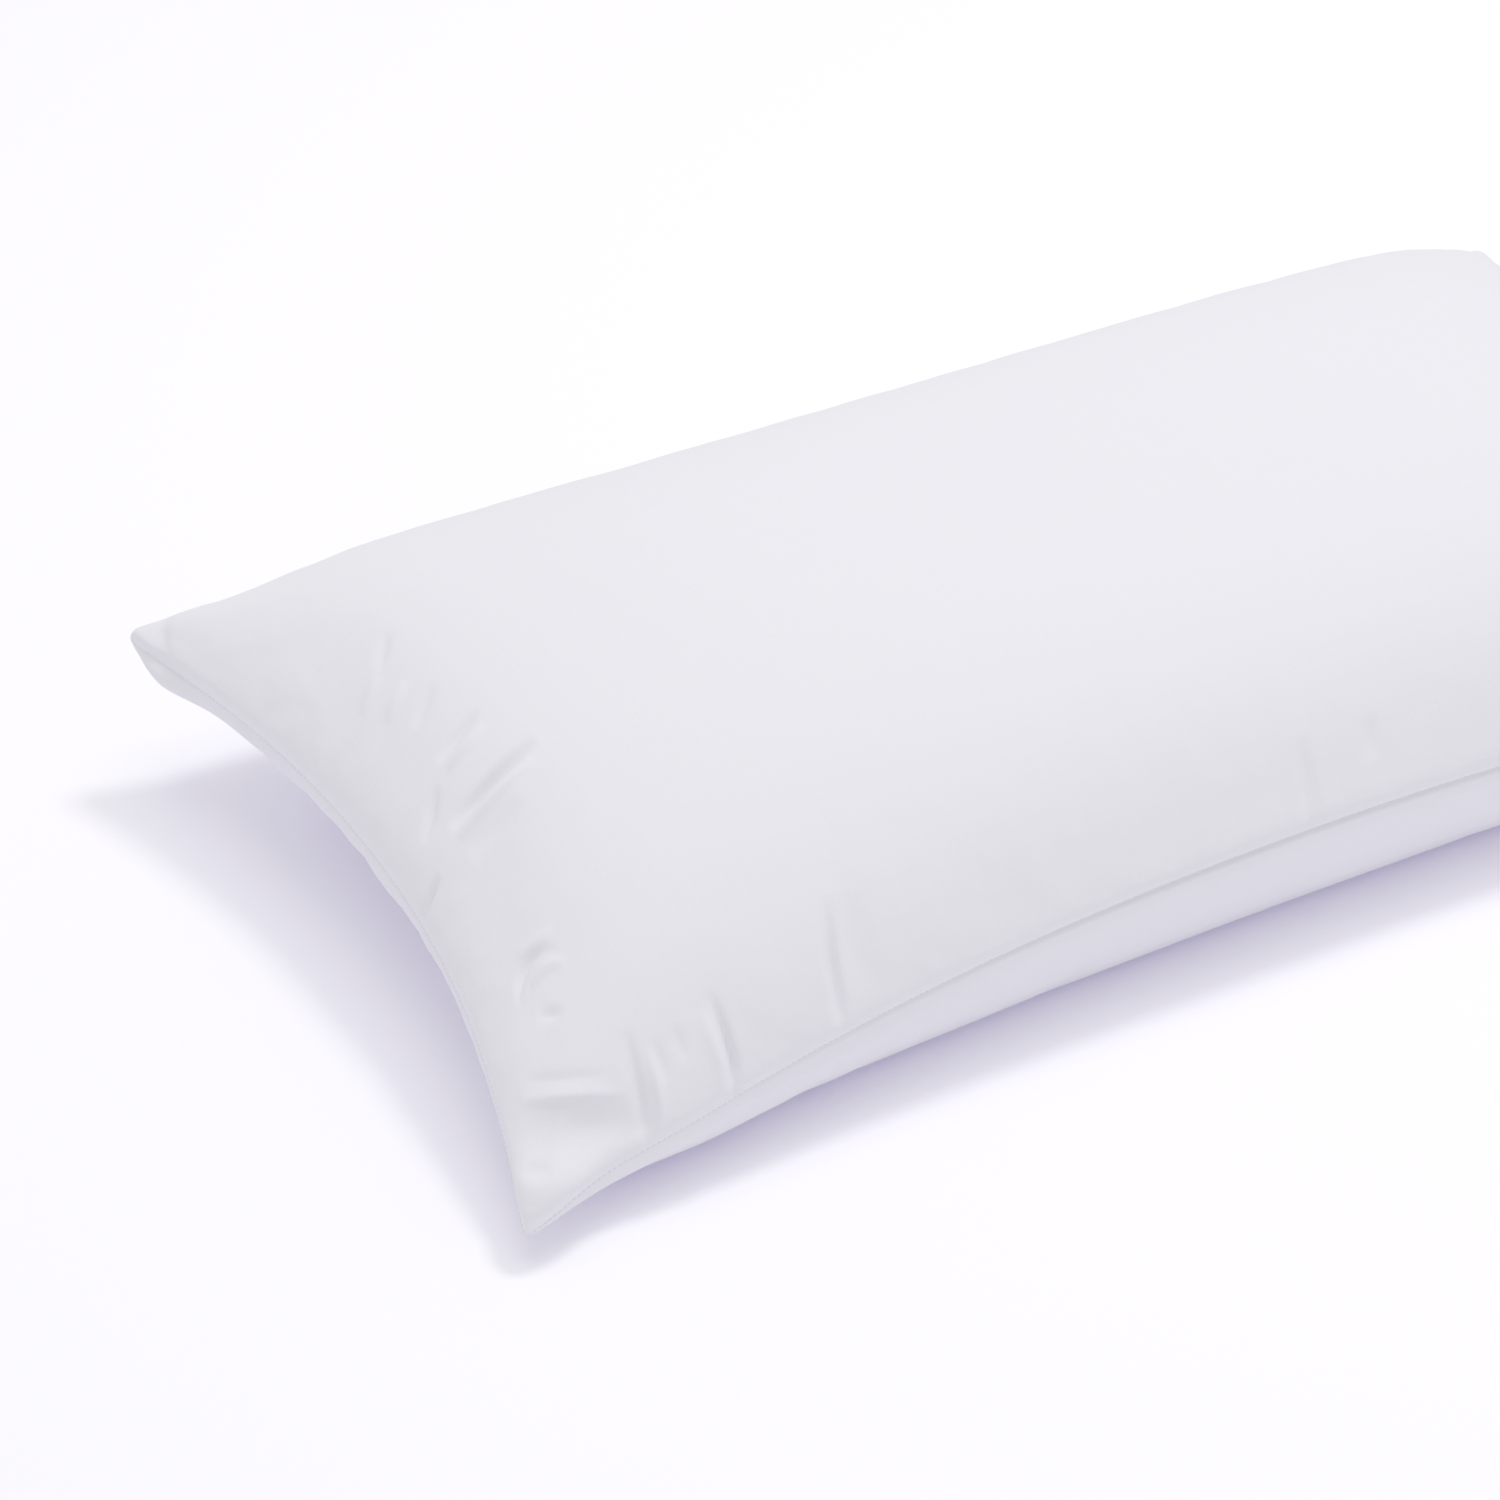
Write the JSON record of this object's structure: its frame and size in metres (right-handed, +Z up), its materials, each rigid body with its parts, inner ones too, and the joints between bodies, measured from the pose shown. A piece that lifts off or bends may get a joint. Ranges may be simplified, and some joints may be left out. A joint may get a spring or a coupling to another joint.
{
  "type": "king pillow",
  "caption": "Long plump bed pillow lying on its back: broad crown, drawn-in sides and pointed ears at its corners.",
  "frame": {"origin": "on the surface that the pillow lies on, under the middle of its outline", "axes": "+X along the pillow from the left end to the right end, +Y across it from the near side to the far side, +Z up out of the crown"},
  "size_m": [0.8883, 0.4578, 0.1816],
  "materials": {
    "cotton": "plain white cotton, closely woven, soft and matt"
  },
  "bodies": {
    "root": {"pillow": "cotton"}
  },
  "joints": []
}
